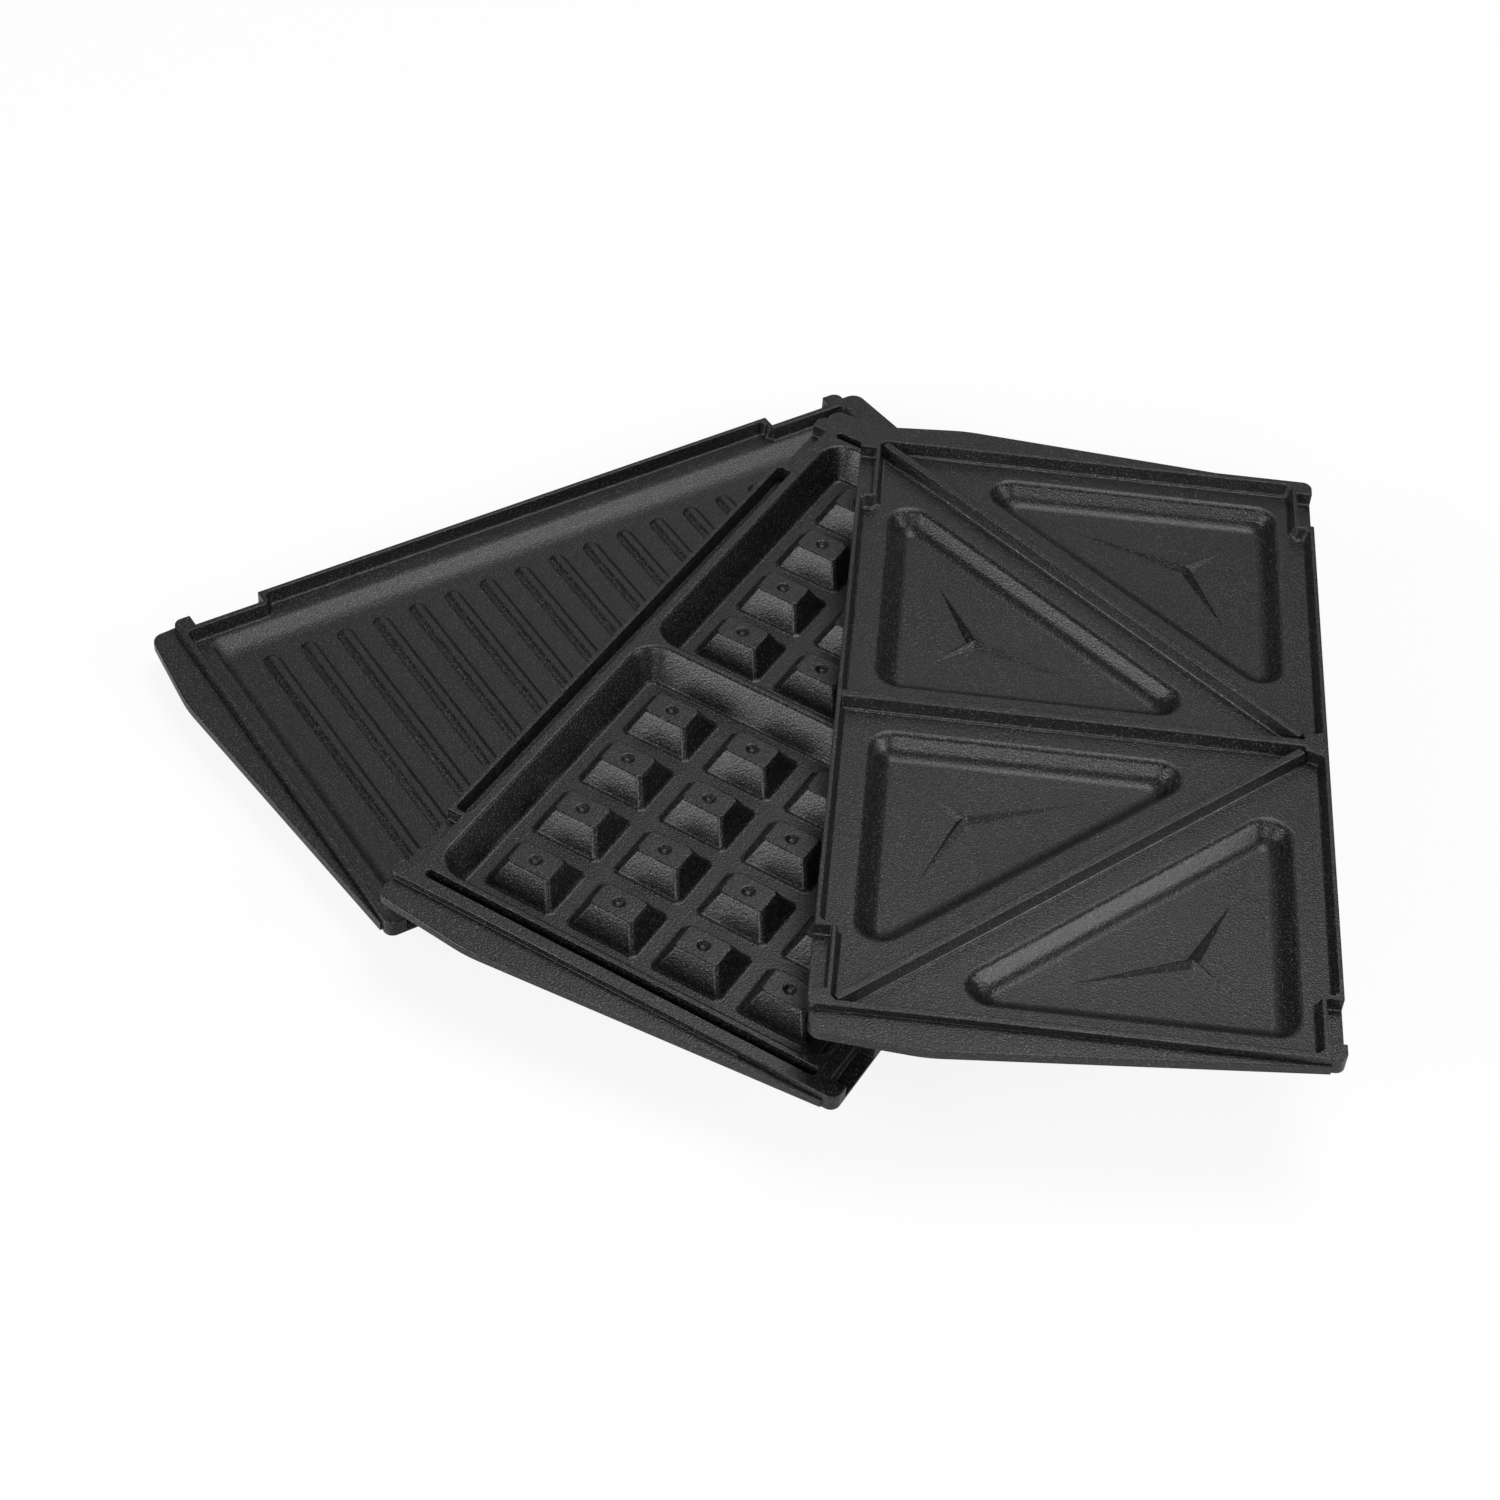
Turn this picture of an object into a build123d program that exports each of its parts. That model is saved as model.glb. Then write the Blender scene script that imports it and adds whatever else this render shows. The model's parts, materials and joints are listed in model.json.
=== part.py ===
from build123d import *
import math
import os

# Three interchangeable cooking plates of one cooker, each a single aluminium casting.
# They lie fanned out on each other: grill plate below, waffle plate on it, sandwich plate on top.
# Each plate is drawn in its own frame: X across its width, Y along its length, Z = 0 at its rim.
# All sizes are in millimetres, all angles in degrees.

# Outline that every plate shares
plate_length = 220.0
plate_width = 130.0
plate_depth = 12.0          # from the rim to the flat foot, the same for all three
corner_radius = 2.6
edge_depth = 4.8            # depth of the outer edge below the rim
underside_slope = 45.0      # slope of the underside, away from the outer edge
underside_corner_radius = 9.0

# Locating notches beside the four corners
notch_start = 5.4           # from the short end to the notch
catch_notch_length = 20.6   # the pair on the long side that the cooker's hinge takes
clip_notch_length = 14.2    # the pair on the long side that the cooker's clips take
notch_width = 4.4           # into the long side
notch_drop = 4.0            # from the rim down to the notch's shelf

# Grip flange along each short end, wide at one corner and running out at the other
flange_drop = 2.1           # from the rim down to the flange
flange_first_reach = 6.8
flange_widest_reach = 9.4
flange_last_reach = 0.6
flange_first_edge = 0.8     # from the long side to where the flange begins
flange_widest_edge = 29.6   # from the same long side to its widest point
flange_last_edge = 3.6      # from the other long side to where it ends
flange_corner_radius = 3.6
flange_widest_radius = 40.0

# Rim wall round the food side
rim_wall = 1.3
end_wall = 1.9
wall_draft = 13.0
wall_corner = 1.3           # bevel of the recess's corners

# Underside: a shallow relief leaves a raised track for the heating element to press on
relief_depth = 0.8
foot_band = 5.0             # raised band round the underside
heater_track_width = 8.0
heater_track_length = 150.0
heater_track_span = 62.0
sensor_pad_diameter = 18.0

# Grill plate
grill_ledge_drop = 4.0
grill_floor_drop = 6.0
grill_ledge_side = 8.0      # from the long side to the top of the sloped border
grill_ledge_end = 6.6       # from the short end to the same line
grill_floor_side = 14.2     # from the long side to the flat floor
grill_floor_end = 9.4       # from the short end to the flat floor
grill_floor_radius = 4.0
rib_count = 17
rib_pitch = 11.26
rib_length = 91.2
rib_width = 4.8
rib_end_sides = 7           # flat facets that make up a rib's round end
rib_height = 1.4
rib_draft = 36.0

# Waffle plate
waffle_floor_drop = 9.2
cavity_end = 8.0            # from the short end to a cavity
cavity_side = 8.3           # from the long side to a cavity
cavity_divider = 2.3        # top of the wall between the two cavities
cavity_draft = 27.0
cavity_radius = 7.5
stud_columns = 4            # along the plate, in each cavity
stud_rows = 4               # across the plate
stud_pitch_along = 22.0
stud_pitch_across = 25.06
stud_base_along = 16.7
stud_base_across = 19.7
stud_top_along = 8.5
stud_top_across = 12.6
stud_top_drop = 2.1
stud_corner = 0.9           # bevel down each edge of a stud
dimple_radius = 1.9
dimple_depth = 0.9
dimple_draft = 50.0
dimple_sides = 8
moat_side_edge = 1.4        # from the long side to the overflow moat
moat_side_width = 4.0
moat_end_edge = 3.6         # from the short end to the overflow moat
moat_end_width = 2.7
moat_drop = 4.7
moat_draft = 8.0
moat_end_margin = 8.0       # from the long side to the end of the moat along the short end

# Sandwich plate
sandwich_ledge_drop = 4.0
pocket_drop = 9.0
pocket_slope_width = 3.8    # sloped wall of a pocket, seen from above
pocket_radius = 6.0
pocket_floor_radius = 3.0
divider_top = 2.5
diagonal_top = 2.0
seal_draft = 12.0
diagonal_side = 7.0         # from the long side to where a diagonal leaves the corner
diagonal_end = 3.0          # and from the short end
landing_edge = 6.3          # from the long side to the wedge where the diagonals meet
landing_width = 5.8
landing_flare = 2.0
pocket_side_edge = 10.2     # from the long side to a pocket
pocket_divider_edge = 9.3   # from the divider's middle to a pocket
pocket_diagonal_edge = 9.8  # from the diagonal's middle to a pocket
ridge_reach = 1.9           # from where the arms meet to the foot between two of them
ridge_height = 1.7
ridge_fork = (-29.3, 20.6)  # where the arms meet, from the centre of the plate's half
ridge_tips = ((-40.3, 30.3), (1.6, 32.0), (-39.6, -1.7))

# How the plates lie: centre across and along, turn about the vertical, and lean
grill_place = (-123.0, 45.1, -53.2, 0.0, 0.0)
waffle_place = (-66.4, 3.8, -25.7, 1.1, 1.56)
sandwich_place = (0.0, 0.0, 0.0, -0.63, 0.64)
rest_gap = 0.3              # between a plate and the one it lies on


def rectangle(width, length, radius, drop=0.0):
    """Rounded rectangle at a depth below the rim."""
    return Pos(0, 0, -drop) * RectangleRounded(width, length, radius)


def tapered_cut(face, depth, draft):
    """Solid that a recess takes away: it narrows downwards from the face by the draft."""
    return extrude(face, amount=depth, dir=(0, 0, -1), taper=draft)


def notch_lengths():
    """Side of the plate (-1 or +1) with the length of its two notches."""
    return ((-1, catch_notch_length), (1, clip_notch_length))


def corner_blocks(extra, reach_to_end):
    """Rectangles at the four notches, grown by extra; they reach the plate's end if asked."""
    blocks = Sketch()
    for side, length in notch_lengths():
        start = 0.0 if reach_to_end else notch_start
        stop = notch_start + length + extra
        wide = 2 * (notch_width + extra)
        for end in (-1, 1):
            middle = end * (plate_length / 2 - (start + stop) / 2)
            blocks += Pos(side * plate_width / 2, middle) * Rectangle(wide, stop - start)
    return blocks


def rim_recess(side_wall, short_wall):
    """Outline inside the rim wall, which steps inwards round the notches."""
    outline = Rectangle(plate_width - 2 * side_wall, plate_length - 2 * short_wall)
    outline -= corner_blocks(side_wall, True)
    return chamfer(outline.vertices(), wall_corner)


def flange():
    """Grip flange at one short end, from above."""
    half = plate_width / 2
    end = plate_length / 2
    root = end - notch_start
    outline = Polygon(
        (-half + flange_first_edge, root),
        (-half + flange_first_edge, end + flange_first_reach),
        (-half + flange_widest_edge, end + flange_widest_reach),
        (half - flange_last_edge, end + flange_last_reach),
        (half - flange_last_edge, root),
        align=None,
    )
    corners = outline.vertices().sort_by(Axis.Y)
    outline = fillet(corners[-2], flange_corner_radius)
    outline = fillet(outline.vertices().sort_by(Axis.Y)[-1], flange_widest_radius)
    return extrude(Pos(0, 0, -edge_depth) * outline, amount=edge_depth - flange_drop, dir=(0, 0, 1))


def foot_size():
    """Width and length of the flat foot under a plate."""
    inset = (plate_depth - edge_depth) / math.tan(math.radians(underside_slope))
    return plate_width - 2 * inset, plate_length - 2 * inset


def heater_relief():
    """What the underside's relief takes away between the foot band and the heater's track."""
    width, length = foot_size()
    floor = rectangle(width - 2 * foot_band, length - 2 * foot_band, underside_corner_radius)
    outer = SlotOverall(heater_track_length, heater_track_span)
    inner = SlotOverall(heater_track_length - 2 * heater_track_width, heater_track_span - 2 * heater_track_width)
    track = Rot(0, 0, 90) * (outer - inner)
    relief = floor - track - Circle(sensor_pad_diameter / 2)
    return extrude(Pos(0, 0, -plate_depth) * relief, amount=relief_depth)


def blank():
    """Casting before its food side is shaped: edge, flanges, notches, underside and heater track."""
    edge = fillet(Rectangle(plate_width, plate_length).vertices(), corner_radius)
    body = extrude(Pos(0, 0, -edge_depth) * edge, amount=edge_depth)
    width, length = foot_size()
    top = rectangle(plate_width - rest_gap, plate_length - rest_gap, corner_radius, edge_depth)
    foot = rectangle(width, length, underside_corner_radius, plate_depth)
    body += loft([top, foot])
    one = flange()
    body += [one, mirror(one, about=Plane.XZ)]
    body -= extrude(Pos(0, 0, -notch_drop) * corner_blocks(0.0, False), amount=notch_drop)
    return body - heater_relief()


def rib_outline():
    """Rib from above, with faceted round ends."""
    centre = (rib_length - rib_width) / 2
    points = []
    for side in (1, -1):
        for step in range(rib_end_sides + 1):
            turn = math.pi * (step / rib_end_sides - 0.5)
            points.append((side * (centre + rib_width / 2 * math.cos(turn)), side * rib_width / 2 * math.sin(turn)))
    return Polygon(*points, align=None)


def grill_plate():
    """Ribbed plate: a tray with a sloped border round a flat floor that carries the ribs."""
    body = blank()
    body -= tapered_cut(rim_recess(rim_wall, end_wall), grill_ledge_drop, wall_draft)
    ledge = rectangle(
        plate_width - 2 * grill_ledge_side,
        plate_length - 2 * grill_ledge_end,
        grill_floor_radius,
        grill_ledge_drop,
    )
    floor = rectangle(
        plate_width - 2 * grill_floor_side,
        plate_length - 2 * grill_floor_end,
        grill_floor_radius,
        grill_floor_drop,
    )
    body -= loft([ledge, floor])
    rib = extrude(rib_outline(), amount=rib_height, taper=rib_draft)
    for index in range(rib_count):
        along = (index - (rib_count - 1) / 2) * rib_pitch
        body += Pos(0, along, -grill_floor_drop) * rib
    return body


def bevelled(width, length):
    """Rectangle with the bevelled corners of a stud."""
    return chamfer(Rectangle(width, length).vertices(), stud_corner)


def stud_wedge(base, top, width):
    """Wedge of a stud's height standing on Z = 0: base and top are along X, width along Y."""
    height = waffle_floor_drop - stud_top_drop
    side = Polygon((-base / 2, 0), (base / 2, 0), (top / 2, height), (-top / 2, height), align=None)
    return extrude(Plane.XZ * side, amount=width / 2, both=True)


def waffle_stud():
    """One raised stud of the waffle pattern, dimpled on top, standing on Z = 0."""
    across = stud_wedge(stud_base_across, stud_top_across, stud_base_along)
    along = stud_wedge(stud_base_along, stud_top_along, stud_base_across)
    body = across & (Rot(0, 0, 90) * along)
    slants = body.edges().filter_by(lambda edge: abs(edge.tangent_at(0.5).Z) > 0.5)
    body = chamfer(slants, stud_corner)
    mouth = Pos(0, 0, waffle_floor_drop - stud_top_drop) * RegularPolygon(dimple_radius, dimple_sides)
    return body - tapered_cut(mouth, dimple_depth, dimple_draft)


def waffle_moat():
    """Overflow moat beside each long side and along each short end."""
    shift = plate_width / 2 - moat_side_edge - moat_side_width / 2
    moats = []
    for side, notch in notch_lengths():
        length = plate_length - 2 * (notch_start + notch + rim_wall)
        face = Pos(side * shift, 0) * bevelled(moat_side_width, length)
        moats.append(tapered_cut(face, moat_drop, moat_draft))
    across = plate_width - 2 * moat_end_margin
    shift = plate_length / 2 - moat_end_edge - moat_end_width / 2
    for end in (-1, 1):
        face = Pos(0, end * shift) * bevelled(across, moat_end_width)
        moats.append(tapered_cut(face, moat_drop, moat_draft))
    return moats


def waffle_plate():
    """Plate with two waffle cavities, each with a grid of studs, inside an overflow moat."""
    body = blank()
    length = plate_length / 2 - cavity_end - cavity_divider / 2
    centre = (cavity_divider + length) / 2
    cavity = rectangle(plate_width - 2 * cavity_side, length, cavity_radius)
    stud = waffle_stud()
    for end in (-1, 1):
        body -= tapered_cut(Pos(0, end * centre) * cavity, waffle_floor_drop, cavity_draft)
    for end in (-1, 1):
        for spot in GridLocations(stud_pitch_across, stud_pitch_along, stud_rows, stud_columns):
            body += Pos(0, end * centre, -waffle_floor_drop) * spot * stud
    return body - waffle_moat()


def seal_wall(start, stop, top):
    """Dividing wall on the ledge between two points, with drafted sides."""
    line = Vector(stop[0] - start[0], stop[1] - start[1])
    base = top + 2 * sandwich_ledge_drop * math.tan(math.radians(seal_draft))
    angle = math.degrees(math.atan2(line.Y, line.X))
    middle = ((start[0] + stop[0]) / 2, (start[1] + stop[1]) / 2, -sandwich_ledge_drop)
    foot = Rectangle(line.length + base - top, base)
    wall = extrude(foot, amount=sandwich_ledge_drop, taper=seal_draft)
    return Location(middle, (0, 0, angle)) * wall


def diagonal_corner():
    """End of a diagonal at the plate's corner, from the centre of its half."""
    return (-plate_width / 2 + diagonal_side, -plate_length / 4 + diagonal_end)


def landing():
    """Flat wedge at rim height where two diagonals meet the divider, beside the wall at +X."""
    inner = plate_width / 2 - landing_edge
    outer = plate_width / 2 - rim_wall / 2
    wedge = Polygon(
        (inner, landing_width / 2),
        (outer, landing_width / 2 + landing_flare),
        (outer, -landing_width / 2 - landing_flare),
        (inner, -landing_width / 2),
        align=None,
    )
    return extrude(Pos(0, 0, -sandwich_ledge_drop) * wedge, amount=sandwich_ledge_drop, dir=(0, 0, 1))


def pocket_outline(inset, radius, drop):
    """Triangular pocket beside the diagonal, from the centre of its half, moved in by an inset."""
    corner = diagonal_corner()
    slope = corner[1] / corner[0]
    side = -plate_width / 2 + pocket_side_edge + inset
    top = plate_length / 4 - pocket_divider_edge - inset
    rise = (pocket_diagonal_edge + inset) * math.hypot(1, slope)
    outline = Polygon((side, slope * side + rise), ((top - rise) / slope, top), (side, top), align=None)
    return Pos(0, 0, -drop) * fillet(outline.vertices(), radius)


def ridge():
    """Three-armed ridge on a pocket's floor: each arm narrows and falls to a point."""
    fork = Vector(*ridge_fork, -pocket_drop)
    arms = [Vector(*tip, -pocket_drop) - fork for tip in ridge_tips]
    arms.sort(key=lambda arm: math.atan2(arm.Y, arm.X))
    foot = []
    for arm, following in zip(arms, arms[1:] + arms[:1]):
        between = (arm.normalized() + following.normalized()).normalized()
        foot += [fork + arm, fork + between * ridge_reach]
    top = fork + Vector(0, 0, ridge_height)
    faces = [Face(Wire.make_polygon(foot))]
    for start, stop in zip(foot, foot[1:] + foot[:1]):
        faces.append(Face(Wire.make_polygon([start, stop, top])))
    return Solid(Shell(faces))


def half_features():
    """Pockets and ridges of the half towards -Y: two of each, turned about the half's centre."""
    ledge = pocket_outline(0.0, pocket_radius, sandwich_ledge_drop)
    floor = pocket_outline(pocket_slope_width, pocket_floor_radius, pocket_drop)
    pocket = loft([ledge, floor])
    turns = [Pos(0, -plate_length / 4) * Rot(0, 0, turn) for turn in (0, 180)]
    return [turn * pocket for turn in turns], [turn * ridge() for turn in turns]


def sandwich_plate():
    """Plate with four triangular pockets between a divider and two diagonals."""
    body = blank()
    body -= tapered_cut(rim_recess(rim_wall, end_wall), sandwich_ledge_drop, wall_draft)
    half = plate_width / 2 - rim_wall
    body += seal_wall((-half, 0), (half, 0), divider_top)
    corner = diagonal_corner()
    middle = plate_length / 4
    near = seal_wall((corner[0], corner[1] - middle), (-corner[0], -corner[1] - middle), diagonal_top)
    pockets, ridges = half_features()
    walls = [near, mirror(near, about=Plane.XZ), landing()]
    pockets += [mirror(pocket, about=Plane.XZ) for pocket in pockets]
    ridges += [mirror(one, about=Plane.XZ) for one in ridges]
    body -= pockets
    body += walls
    return body + ridges


def outline_at(place, size):
    """Flat rectangle of this width and length where a plate lies, seen from above."""
    return Location((place[0], place[1], 0), (0, 0, place[2])) * Rectangle(*size)


def level(place, x, y):
    """Height of the plane through a plate's centre at a point, from how the plate leans."""
    tilt = Location((0, 0, 0), (place[3], place[4], 0))
    normal = (tilt * Location((0, 0, 1))).position
    return -((x - place[0]) * normal.X + (y - place[1]) * normal.Y) / normal.Z


def seat(upper, lower, lower_height):
    """Height of the upper plate's rim at its centre, so that its foot just clears the lower rim."""
    shared = outline_at(lower, (plate_width, plate_length)) & outline_at(upper, foot_size())
    rises = []
    for corner in shared.vertices():
        below = level(lower, corner.X, corner.Y) + lower_height
        rises.append(below - level(upper, corner.X, corner.Y))
    return max(rises) + plate_depth + rest_gap


def put(shape, place, height):
    """Plate where it lies in the stack."""
    return Location((place[0], place[1], height), (place[3], place[4], place[2])) * shape


def stack():
    """All three plates where they lie, with the stack's base centre at the origin."""
    waffle_height = seat(waffle_place, grill_place, plate_depth)
    sandwich_height = seat(sandwich_place, waffle_place, waffle_height)
    plates = {
        "grill_plate": put(grill_plate(), grill_place, plate_depth),
        "waffle_plate": put(waffle_plate(), waffle_place, waffle_height),
        "sandwich_plate": put(sandwich_plate(), sandwich_place, sandwich_height),
    }
    box = Compound(list(plates.values())).bounding_box()
    centre = box.center()
    shift = Pos(-centre.X, -centre.Y, -box.min.Z)
    return {name: shift * plate for name, plate in plates.items()}


os.makedirs("parts", exist_ok=True)
for name, plate in stack().items():
    export_step(plate, os.path.join("parts", name + ".step"))
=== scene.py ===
"""Looks of a fanned set of sandwich maker plates: coating, rounded casting edges, studio."""

import json
import logging
import math
from dataclasses import dataclass
from enum import Enum
from typing import Any, Sequence

import bmesh
import bpy
from mathutils import Matrix, Vector

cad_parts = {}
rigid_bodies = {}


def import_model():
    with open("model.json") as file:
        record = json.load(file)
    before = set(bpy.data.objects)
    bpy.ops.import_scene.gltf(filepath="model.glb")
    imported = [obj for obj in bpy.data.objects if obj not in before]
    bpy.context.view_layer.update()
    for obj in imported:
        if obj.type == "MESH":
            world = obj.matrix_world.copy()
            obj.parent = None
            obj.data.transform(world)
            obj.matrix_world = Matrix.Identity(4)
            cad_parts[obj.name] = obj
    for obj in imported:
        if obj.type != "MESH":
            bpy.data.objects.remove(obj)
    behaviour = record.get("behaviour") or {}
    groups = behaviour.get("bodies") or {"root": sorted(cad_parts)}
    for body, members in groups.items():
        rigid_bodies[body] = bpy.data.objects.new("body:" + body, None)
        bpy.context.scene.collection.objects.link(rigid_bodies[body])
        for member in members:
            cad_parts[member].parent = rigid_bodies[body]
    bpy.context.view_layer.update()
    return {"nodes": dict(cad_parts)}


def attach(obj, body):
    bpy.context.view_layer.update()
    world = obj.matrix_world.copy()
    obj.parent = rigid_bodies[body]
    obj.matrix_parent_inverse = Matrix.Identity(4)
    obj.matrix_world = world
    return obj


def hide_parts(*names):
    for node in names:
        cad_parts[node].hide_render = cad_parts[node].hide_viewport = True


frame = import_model()

log = logging.getLogger("plates")

Colour = tuple[float, float, float]

MM_PER_METRE = 1000.0

# Heights on a plate below its rim, in millimetres
RIM = 0.0
FLANGE = -2.1
STUD_TOP = -2.1
LEDGE = -4.0
RIB_TOP = -4.6
GRILL_FLOOR = -6.0
POCKET_FLOOR = -9.0
WAFFLE_FLOOR = -9.2
FOOT = -12.0
HEIGHT_SLACK = 0.1          # how far from these heights a point may lie

# Where the plates' patterns repeat, in millimetres
STUD_PITCH = 25.06          # across the waffle plate
HALF_CENTRE = 55.0          # from the middle of a plate to the middle of one half
POCKET_CUT = (28.2, 20.6)   # from a half's centre to near where a pocket's ridges meet

# Sockets of a Mix node that mixes colours
MIX_FACTOR = 0
MIX_LOW = 6
MIX_HIGH = 7
MIX_COLOUR = 2


class Value:
    """A shader socket that takes part in Python sums, so that a formula reads as one."""

    def __init__(self, graph: "Graph", socket: bpy.types.NodeSocket) -> None:
        """Keeps the socket and the graph that new nodes go into.

        Args:
            graph: the node graph that the socket belongs to.
            socket: the output socket that carries the value.
        """
        self.graph = graph
        self.socket = socket

    def _math(self, operation: str, *values: Any) -> "Value":
        """Adds one Math node.

        Args:
            operation: the Math node's operation.
            values: its inputs, in order.

        Returns:
            The node's result.
        """
        inputs = dict(enumerate(values))
        return self.graph.node("ShaderNodeMath", {"operation": operation}, inputs)

    def __add__(self, other: Any) -> "Value":
        """This value plus another."""
        return self._math("ADD", self, other)

    def __radd__(self, other: Any) -> "Value":
        """Another value plus this one."""
        return self._math("ADD", other, self)

    def __sub__(self, other: Any) -> "Value":
        """This value less another."""
        return self._math("SUBTRACT", self, other)

    def __mul__(self, other: Any) -> "Value":
        """This value times another."""
        return self._math("MULTIPLY", self, other)

    def __rmul__(self, other: Any) -> "Value":
        """Another value times this one."""
        return self._math("MULTIPLY", other, self)

    def over(self, low: float, high: float) -> "Value":
        """Smooth step from 0 at low to 1 at high.

        Args:
            low: where the step begins.
            high: where it ends.

        Returns:
            The stepped value.
        """
        inputs = {"Value": self, "From Min": low, "From Max": high}
        settings = {"interpolation_type": "SMOOTHSTEP"}
        return self.graph.node("ShaderNodeMapRange", settings, inputs)


class Graph:
    """Node graph of one material or world."""

    def __init__(self, owner: bpy.types.ID) -> None:
        """Starts an empty graph.

        Args:
            owner: the material or world that the graph shades.
        """
        owner.use_nodes = True
        self.tree = owner.node_tree
        self.tree.nodes.clear()

    def node(
        self,
        kind: str,
        settings: dict[str, Any],
        inputs: dict[Any, Any],
        output: Any = 0,
    ) -> Value:
        """Adds a node of any kind.

        Args:
            kind: the node's type name.
            settings: its properties, set before its sockets.
            inputs: values or links of its input sockets, by name or index.
            output: name or index of the output wanted.

        Returns:
            That output as a value.
        """
        made = self.tree.nodes.new(kind)
        for key, value in settings.items():
            setattr(made, key, value)
        for key, value in inputs.items():
            if isinstance(value, Value):
                self.tree.links.new(value.socket, made.inputs[key])
            else:
                made.inputs[key].default_value = value
        return Value(self, made.outputs[output])

    def noise(self, place: Value, per_metre: float, detail: float) -> Value:
        """Noise about 0.5.

        Args:
            place: where each point is.
            per_metre: how many grains fit in a metre.
            detail: how many finer layers it has.

        Returns:
            The noise.
        """
        inputs = {"Vector": place, "Scale": per_metre, "Detail": detail}
        return self.node("ShaderNodeTexNoise", {}, inputs)

    def ramp(self, value: Value, stops: Sequence[tuple[float, Colour]]) -> Value:
        """Colour ramp.

        Args:
            value: what runs along the ramp.
            stops: two places and their colours, first to last.

        Returns:
            The colour.
        """
        result = self.node("ShaderNodeValToRGB", {}, {0: value})
        steps = result.socket.node.color_ramp.elements
        for element, (place, colour) in zip(steps, stops):
            element.position = place
            element.color = (*colour, 1.0)
        return result

    def mixed(self, factor: Value, low: Value, high: Colour) -> Value:
        """Colour between two others.

        Args:
            factor: 0 for the low colour, 1 for the high one.
            low: the low colour.
            high: the high colour.

        Returns:
            The colour.
        """
        inputs = {MIX_FACTOR: factor, MIX_LOW: low, MIX_HIGH: (*high, 1.0)}
        return self.node("ShaderNodeMix", {"data_type": "RGBA"}, inputs, MIX_COLOUR)

    def finish(self, shader: Value, kind: str = "ShaderNodeOutputMaterial") -> None:
        """Links a shader to the surface.

        Args:
            shader: the finished shader.
            kind: type name of the output node.
        """
        out = self.tree.nodes.new(kind)
        self.tree.links.new(shader.socket, out.inputs["Surface"])


@dataclass(frozen=True)
class NonStickCoating:
    """Sprayed non-stick coating: near black, semi-matte, orange-peel skin, fine bright flecks."""

    dark: Colour = (0.0040, 0.0040, 0.0042)
    light: Colour = (0.0070, 0.0070, 0.0072)
    fleck: Colour = (0.085, 0.085, 0.085)
    fleck_per_metre: float = 2300.0
    fleck_detail: float = 1.0
    fleck_from: float = 0.57
    fleck_full: float = 0.70
    fleck_strength: float = 0.8
    fleck_polish: float = 0.06
    grain_per_metre: float = 1650.0
    grain_detail: float = 2.0
    grain_depth: float = 0.00017
    grain_share: float = 0.6
    cloud_per_metre: float = 22.0
    cloud_detail: float = 3.0
    cloud_share: float = 0.75
    dark_below: float = 0.3
    light_above: float = 0.7
    roughness: float = 0.32
    roughness_spread: float = 0.10
    specular: float = 0.5

    def material(self, name: str) -> bpy.types.Material:
        """Builds the coating's material.

        Args:
            name: the material's name.

        Returns:
            The material.
        """
        material = bpy.data.materials.new(name)
        graph = Graph(material)
        place = graph.node("ShaderNodeTexCoord", {}, {}, "Object")
        grain = graph.noise(place, self.grain_per_metre, self.grain_detail)
        fine = graph.noise(place, self.fleck_per_metre, self.fleck_detail)
        cloud = graph.noise(place, self.cloud_per_metre, self.cloud_detail)
        flecks = fine.over(self.fleck_from, self.fleck_full)
        tone = self.cloud_share * cloud + (1.0 - self.cloud_share) * grain
        stops = ((self.dark_below, self.dark), (self.light_above, self.light))
        colour = graph.mixed(flecks * self.fleck_strength, graph.ramp(tone, stops), self.fleck)
        rough = self.roughness + self.roughness_spread * (grain - 0.5)
        height = self.grain_share * grain + (1.0 - self.grain_share) * fine
        relief = {"Strength": 1.0, "Distance": self.grain_depth, "Height": height}
        surface = {
            "Base Color": colour,
            "Roughness": rough - self.fleck_polish * flecks,
            "Normal": graph.node("ShaderNodeBump", {}, relief),
            "Specular IOR Level": self.specular,
        }
        graph.finish(graph.node("ShaderNodeBsdfPrincipled", {}, surface))
        return material


class Corner(Enum):
    """Which way an edge turns."""

    CREST = 1
    VALLEY = -1


@dataclass(frozen=True)
class Softening:
    """Radius for one kind of edge. Heights and lengths are in millimetres, turns in degrees."""

    corner: Corner
    low: float
    high: float
    radius: float
    least_turn: float = 14.0
    most_turn: float = 180.0
    cap: float = RIM
    least_length: float = 0.0

    def fits(
        self,
        corner: Corner,
        heights: tuple[float, float],
        turn: float,
        top: float,
        length: float,
    ) -> bool:
        """Whether an edge is of this kind.

        Args:
            corner: which way the edge turns.
            heights: heights of its lower and upper end.
            turn: angle that the surface turns through at the edge.
            top: highest point of the two faces that meet at it.
            length: the edge's length.

        Returns:
            True if this radius is for the edge.
        """
        above = self.low - HEIGHT_SLACK <= heights[0]
        below = heights[1] <= self.high + HEIGHT_SLACK and top <= self.cap + HEIGHT_SLACK
        shaped = self.least_turn <= turn <= self.most_turn and length >= self.least_length
        return corner is self.corner and above and below and shaped


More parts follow.
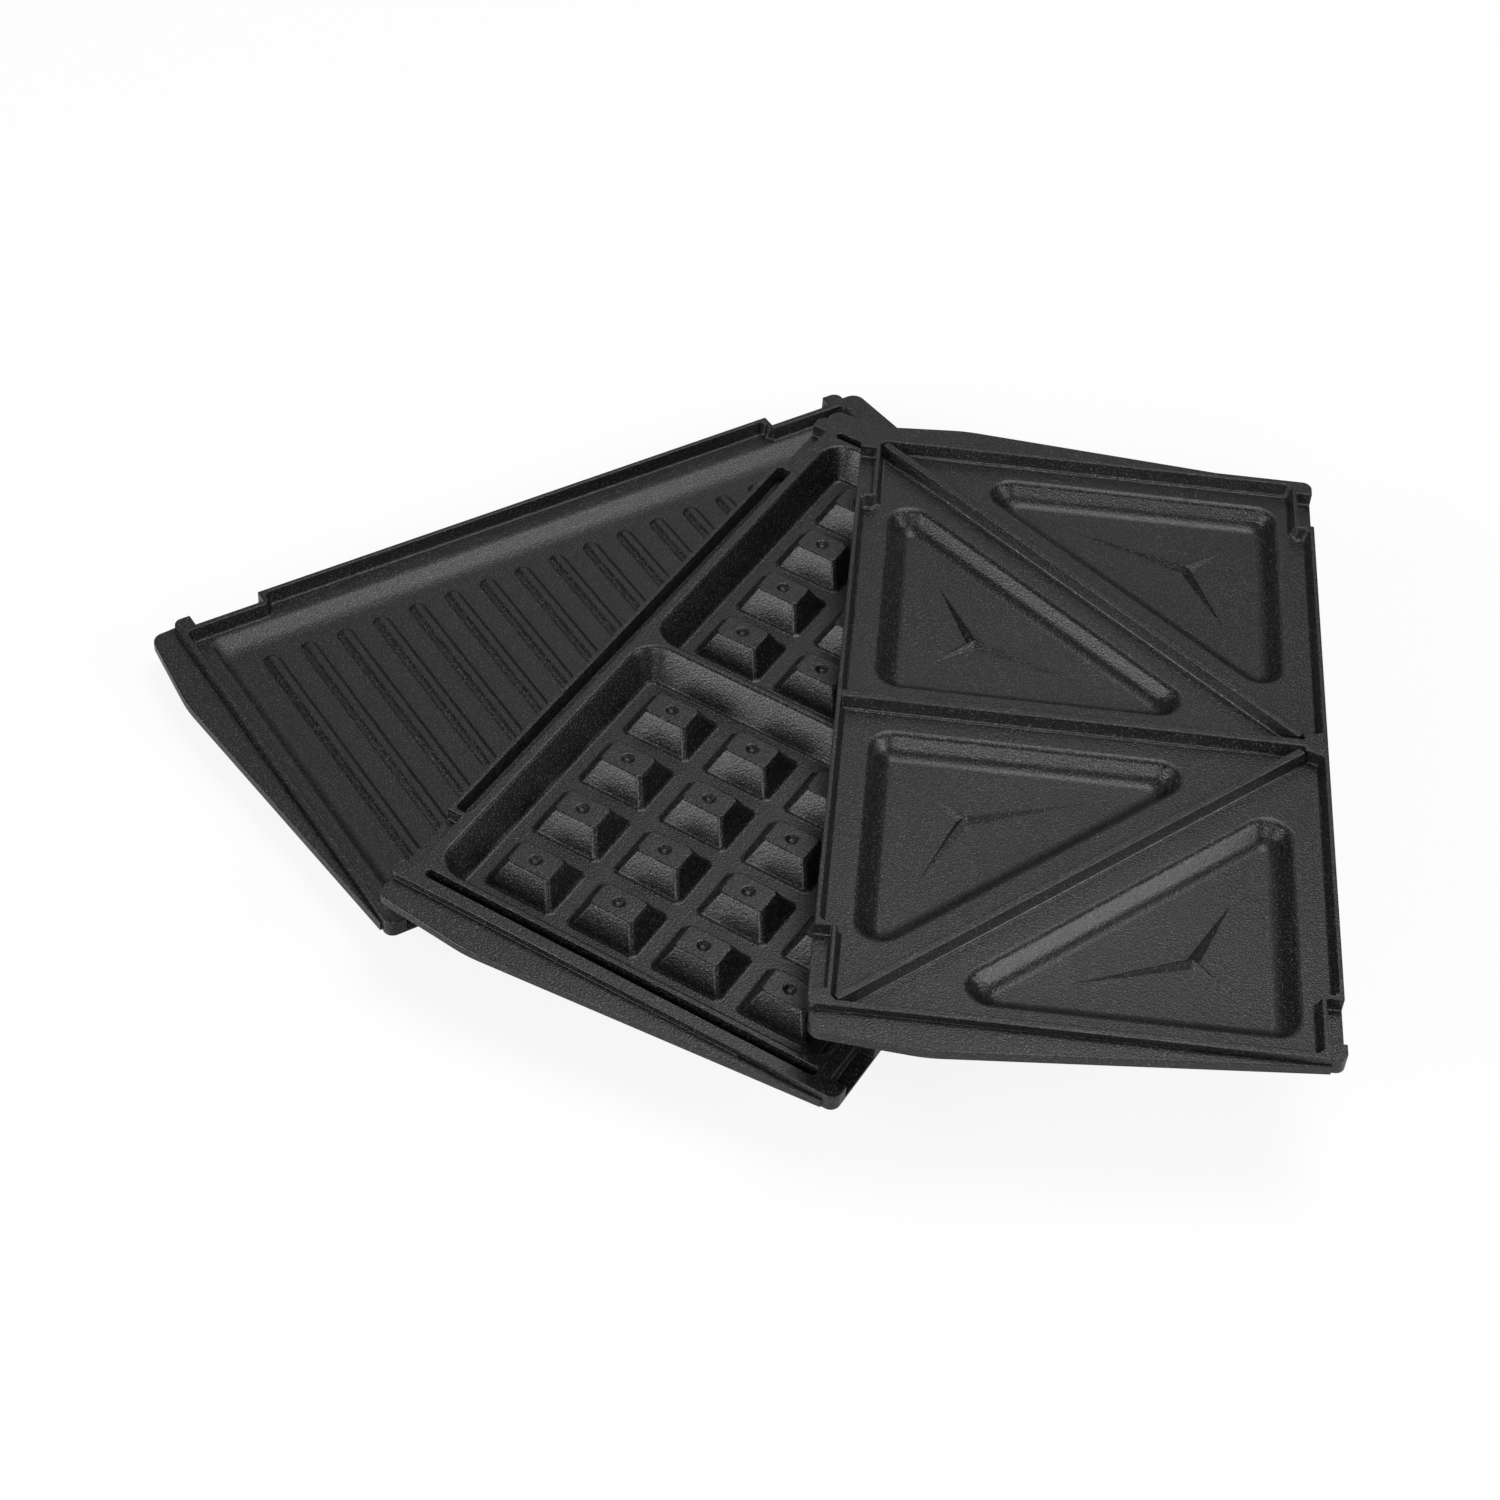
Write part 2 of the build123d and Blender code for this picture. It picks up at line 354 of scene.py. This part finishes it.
@dataclass
class CastPlate:
    """One cast plate: the frame's solid with its edges rounded as the casting's are."""

    node: str
    body: str
    rim_centre_mm: tuple[float, float, float]
    lean_deg: tuple[float, float]
    turn_deg: float
    softenings: tuple[Softening, ...]
    cuts_across_mm: tuple[float, ...]
    cuts_along_mm: tuple[float, ...]
    widest_mm: float = 2.0
    bevel_steps: int = 3
    merge_distance: float = 0.000002
    cut_distance: float = 0.000005
    flat_deg: float = 0.6
    sharp_deg: float = 30.0

    def build(self, coating: bpy.types.Material) -> bpy.types.Object:
        """Copies the plate's solid, rounds its edges and dresses it.

        Args:
            coating: the plate's material.

        Returns:
            The finished piece.
        """
        bpy.ops.object.select_all(action="DESELECT")
        solid = frame["nodes"][self.node]
        solid.select_set(True)
        bpy.context.view_layer.objects.active = solid
        bpy.ops.object.duplicate()
        piece = bpy.context.view_layer.objects.active
        piece.name = self.node + "_casting"
        bpy.ops.object.parent_clear(type="CLEAR_KEEP_TRANSFORM")
        self._merge()
        self._weigh(piece)
        self._round(piece)
        self._shade(piece)
        piece.data.materials.clear()
        piece.data.materials.append(coating)
        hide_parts(self.node)
        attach(piece, self.body)
        return piece

    def _merge(self) -> None:
        """Joins the active copy's loose triangles into flat faces, cut so that none has a hole."""
        bpy.ops.object.mode_set(mode="EDIT")
        bpy.ops.mesh.select_all(action="SELECT")
        bpy.ops.mesh.remove_doubles(threshold=self.merge_distance)
        for place in self.cuts_across_mm:
            self._cut(Vector((1.0, 0.0, 0.0)), place)
        for place in self.cuts_along_mm:
            self._cut(Vector((0.0, 1.0, 0.0)), place)
        bpy.ops.mesh.select_all(action="SELECT")
        bpy.ops.mesh.dissolve_limited(angle_limit=math.radians(self.flat_deg), delimit={"SEAM"})
        bpy.ops.object.mode_set(mode="OBJECT")

    def _cut(self, direction: Vector, place_mm: float) -> None:
        """Cuts the copy that is being edited with a plane, and marks the cut as a seam.

        Args:
            direction: the plane's normal, in the plate's own axes.
            place_mm: where the plane lies along it, from the plate's middle.
        """
        out_of = self._into_plate().inverted()
        along = out_of.to_3x3() @ direction
        point = out_of.translation + along * place_mm / MM_PER_METRE
        bpy.ops.mesh.select_all(action="SELECT")
        bpy.ops.mesh.bisect(plane_co=point, plane_no=along, threshold=self.cut_distance)
        bpy.ops.mesh.mark_seam()

    def _into_plate(self) -> Matrix:
        """Finds the way from the frame to the plate's own axes.

        Returns:
            The matrix, with the rim at height 0.
        """
        turn = (
            Matrix.Rotation(math.radians(self.lean_deg[0]), 4, "X")
            @ Matrix.Rotation(math.radians(self.lean_deg[1]), 4, "Y")
            @ Matrix.Rotation(math.radians(self.turn_deg), 4, "Z")
        )
        place = Matrix.Translation(Vector(self.rim_centre_mm) / MM_PER_METRE)
        return (place @ turn).inverted()

    def _weigh(self, piece: bpy.types.Object) -> None:
        """Gives each edge that is to be rounded its bevel weight.

        Args:
            piece: the merged copy.
        """
        into = self._into_plate()
        shape = bmesh.new()
        shape.from_mesh(piece.data)
        layer = shape.edges.layers.float.new("bevel_weight_edge")
        heights = {vert: (into @ vert.co).z * MM_PER_METRE for vert in shape.verts}
        for edge in shape.edges:
            signed = math.degrees(edge.calc_face_angle_signed(0.0))
            corner = Corner.CREST if signed > 0.0 else Corner.VALLEY
            low, high = sorted(heights[vert] for vert in edge.verts)
            top = max(heights[vert] for face in edge.link_faces for vert in face.verts)
            length = edge.calc_length() * MM_PER_METRE
            for softening in self.softenings:
                if softening.fits(corner, (low, high), abs(signed), top, length):
                    edge[layer] = softening.radius / self.widest_mm
                    break
        shape.to_mesh(piece.data)
        shape.free()

    def _round(self, piece: bpy.types.Object) -> None:
        """Rounds the weighted edges.

        Args:
            piece: the weighted copy.
        """
        bevel = piece.modifiers.new("edges", "BEVEL")
        bevel.width = self.widest_mm / MM_PER_METRE
        bevel.segments = self.bevel_steps
        bevel.limit_method = "WEIGHT"
        bevel.use_clamp_overlap = False
        bevel.loop_slide = False
        bpy.ops.object.modifier_apply(modifier=bevel.name)

    def _shade(self, piece: bpy.types.Object) -> None:
        """Shades the piece smooth, apart from the edges that stay sharp.

        Args:
            piece: the rounded copy.
        """
        bpy.ops.mesh.customdata_custom_splitnormals_clear()
        bpy.ops.object.shade_smooth()
        bpy.ops.object.mode_set(mode="EDIT")
        bpy.ops.mesh.select_mode(type="EDGE")
        bpy.ops.mesh.select_all(action="DESELECT")
        bpy.ops.mesh.edges_select_sharp(sharpness=math.radians(self.sharp_deg))
        bpy.ops.mesh.mark_sharp()
        bpy.ops.object.mode_set(mode="OBJECT")
        shading = piece.modifiers.new("shading", "WEIGHTED_NORMAL")
        shading.keep_sharp = True
        bpy.ops.object.modifier_apply(modifier=shading.name)


# Edges that all three plates share: rim, flanges, notches and foot
OUTSIDE = (
    Softening(Corner.CREST, RIM, RIM, 0.3),
    Softening(Corner.VALLEY, FLANGE, FLANGE, 0.15, most_turn=100.0),
    Softening(Corner.CREST, FLANGE, FLANGE, 0.35),
    Softening(Corner.CREST, LEDGE, LEDGE, 0.25),
    Softening(Corner.CREST, LEDGE, RIM, 0.3),
    Softening(Corner.VALLEY, LEDGE, RIM, 0.3, most_turn=100.0),
    Softening(Corner.CREST, FOOT, FOOT, 0.4),
)


def grill_plate() -> CastPlate:
    """Describes the ribbed plate.

    Returns:
        The plate, with softer edges along its sloped border and ribs.
    """
    return CastPlate(
        node="grill_plate",
        body="grill",
        rim_centre_mm=(-28.601905, 23.793974, 12.0),
        lean_deg=(0.0, 0.0),
        turn_deg=-53.2,
        softenings=(
            Softening(Corner.CREST, LEDGE, LEDGE, 0.8, most_turn=40.0),
            Softening(Corner.VALLEY, GRILL_FLOOR, GRILL_FLOOR, 2.0, most_turn=40.0),
            Softening(Corner.VALLEY, LEDGE, LEDGE, 0.5),
            Softening(Corner.VALLEY, GRILL_FLOOR, GRILL_FLOOR, 0.3),
            Softening(Corner.CREST, GRILL_FLOOR, RIB_TOP, 0.8, least_turn=30.0, cap=RIB_TOP),
            *OUTSIDE,
        ),
        cuts_across_mm=(0.0,),
        cuts_along_mm=(0.0,),
    )


def waffle_plate() -> CastPlate:
    """Describes the waffle plate.

    Returns:
        The plate, with softer edges on its studs and cavities.
    """
    return CastPlate(
        node="waffle_plate",
        body="waffle",
        rim_centre_mm=(27.998095, -17.506025, 25.159241),
        lean_deg=(1.1, 1.56),
        turn_deg=-25.7,
        softenings=(
            Softening(Corner.VALLEY, WAFFLE_FLOOR, WAFFLE_FLOOR, 0.9),
            Softening(Corner.CREST, STUD_TOP, STUD_TOP, 0.25, most_turn=52.0),
            Softening(Corner.CREST, WAFFLE_FLOOR, STUD_TOP, 0.42, cap=STUD_TOP),
            Softening(Corner.CREST, RIM, RIM, 0.8, least_turn=50.0, most_turn=70.0),
            *OUTSIDE,
        ),
        cuts_across_mm=tuple(step * STUD_PITCH for step in (-1.5, -0.5, 0.5, 1.5, 0.0)),
        cuts_along_mm=(0.0,),
    )


def sandwich_plate() -> CastPlate:
    """Describes the plate with triangular pockets.

    Returns:
        The plate, with wide radii round its pockets and the ridges' feet left sharp.
    """
    across, along = POCKET_CUT
    return CastPlate(
        node="sandwich_plate",
        body="sandwich",
        rim_centre_mm=(94.398095, -21.306025, 39.610576),
        lean_deg=(-0.63, 0.64),
        turn_deg=0.0,
        softenings=(
            Softening(
                Corner.VALLEY, POCKET_FLOOR, POCKET_FLOOR, 0.0, most_turn=47.6, least_length=0.45
            ),
            Softening(Corner.VALLEY, POCKET_FLOOR, POCKET_FLOOR, 2.4),
            Softening(Corner.CREST, LEDGE, LEDGE, 1.2, most_turn=70.0),
            Softening(Corner.VALLEY, LEDGE, LEDGE, 0.7),
            *OUTSIDE,
        ),
        cuts_across_mm=(-across, across, 0.0),
        cuts_along_mm=(
            -HALF_CENTRE - along,
            along - HALF_CENTRE,
            0.0,
            HALF_CENTRE - along,
            HALF_CENTRE + along,
        ),
    )


@dataclass
class PhotoCamera:
    """Camera where a fit to the photograph puts it. Lengths are in metres unless named mm."""

    place: tuple[float, float, float] = (0.02756, -0.63499, 0.61591)
    right: tuple[float, float, float] = (0.99489, 0.07612, 0.06631)
    up: tuple[float, float, float] = (-0.10061, 0.69410, 0.71282)
    lens_mm: float = 76.769
    sensor_mm: float = 36.0
    shift: tuple[float, float] = (-0.03175, 0.0)
    nearest: float = 0.05
    farthest: float = 20.0

    def build(self) -> bpy.types.Object:
        """Makes the camera the scene's own.

        Returns:
            The camera.
        """
        data = bpy.data.cameras.new("photo_camera")
        data.sensor_width = self.sensor_mm
        data.lens = self.lens_mm
        data.shift_x, data.shift_y = self.shift
        data.clip_start = self.nearest
        data.clip_end = self.farthest
        camera = bpy.data.objects.new("photo_camera", data)
        bpy.context.scene.collection.objects.link(camera)
        right = Vector(self.right).normalized()
        up = Vector(self.up).normalized()
        back = right.cross(up)
        turn = Matrix((right, up, back)).transposed().to_4x4()
        camera.matrix_world = Matrix.Translation(Vector(self.place)) @ turn
        bpy.context.scene.camera = camera
        return camera


@dataclass
class Softbox:
    """Square soft lamp aimed at the plates. Lengths are in metres, power in watts."""

    name: str
    place: tuple[float, float, float]
    size: float
    power: float
    aim: tuple[float, float, float] = (0.0, 0.0, 0.02)

    def build(self) -> bpy.types.Object:
        """Hangs the lamp.

        Returns:
            The lamp.
        """
        data = bpy.data.lights.new(self.name, "AREA")
        data.shape = "SQUARE"
        data.size = self.size
        data.energy = self.power
        lamp = bpy.data.objects.new(self.name, data)
        bpy.context.scene.collection.objects.link(lamp)
        sight = Vector(self.aim) - Vector(self.place)
        lamp.rotation_euler = sight.to_track_quat("-Z", "Y").to_euler()
        lamp.location = self.place
        return lamp


@dataclass
class Studio:
    """White floor, dim surroundings that the camera sees as white, and soft lamps."""

    floor_size: float = 3.6
    floor_colour: Colour = (0.82, 0.82, 0.82)
    glow_colour: Colour = (1.0, 1.0, 1.0)
    glow_strength: float = 1.06
    glow_share: float = 0.8
    seen_colour: Colour = (1.0, 1.0, 1.0)
    fill_colour: Colour = (0.08, 0.08, 0.08)
    lamps: tuple[Softbox, ...] = (
        Softbox("top_softbox", (0.32, 0.36, 1.4), 0.85, 9.0),
        Softbox("front_softbox", (0.15, -2.0, 1.15), 1.0, 15.0),
        Softbox("left_softbox", (-1.65, -1.05, 0.62), 1.5, 36.0),
        Softbox("right_softbox", (1.9, -0.5, 0.6), 1.2, 20.0),
        Softbox("back_softbox", (-0.15, 1.5, 1.25), 1.4, 2.7),
    )

    def build(self) -> None:
        """Sets the floor, the world and the lamps."""
        self._floor()
        self._world()
        for lamp in self.lamps:
            lamp.build()

    def _floor(self) -> None:
        """White floor that keeps the plates' soft shadow: it glows only where the camera sees it."""
        bpy.ops.object.select_all(action="DESELECT")
        bpy.ops.mesh.primitive_plane_add(size=self.floor_size)
        floor = bpy.context.view_layer.objects.active
        floor.name = "studio_floor"
        material = bpy.data.materials.new("white_floor")
        graph = Graph(material)
        seen = graph.node("ShaderNodeLightPath", {}, {}, "Is Camera Ray")
        matte = graph.node("ShaderNodeBsdfDiffuse", {}, {"Color": (*self.floor_colour, 1.0)})
        light = {"Color": (*self.glow_colour, 1.0), "Strength": self.glow_strength}
        glow = graph.node("ShaderNodeEmission", {}, light)
        mix = {0: self.glow_share * seen, 1: matte, 2: glow}
        graph.finish(graph.node("ShaderNodeMixShader", {}, mix))
        floor.data.materials.append(material)

    def _world(self) -> None:
        """Surroundings: white where the camera sees them, a dim fill for everything else."""
        world = bpy.data.worlds.new("surroundings")
        bpy.context.scene.world = world
        graph = Graph(world)
        seen = graph.node("ShaderNodeLightPath", {}, {}, "Is Camera Ray")
        fill = graph.node("ShaderNodeBackground", {}, {"Color": (*self.fill_colour, 1.0)})
        white = graph.node("ShaderNodeBackground", {}, {"Color": (*self.seen_colour, 1.0)})
        mix = graph.node("ShaderNodeMixShader", {}, {0: seen, 1: fill, 2: white})
        graph.finish(mix, "ShaderNodeOutputWorld")


def main() -> None:
    """Builds the plates, the camera and the studio, in that order."""
    logging.basicConfig(level=logging.INFO, format="%(name)s: %(message)s")
    bpy.context.scene.view_settings.view_transform = "Standard"
    coating = NonStickCoating().material("non_stick_coating")
    for plate in (grill_plate(), waffle_plate(), sandwich_plate()):
        piece = plate.build(coating)
        log.info("%s: %d faces", piece.name, len(piece.data.polygons))
    PhotoCamera().build()
    Studio().build()


if __name__ == "__main__":
    main()
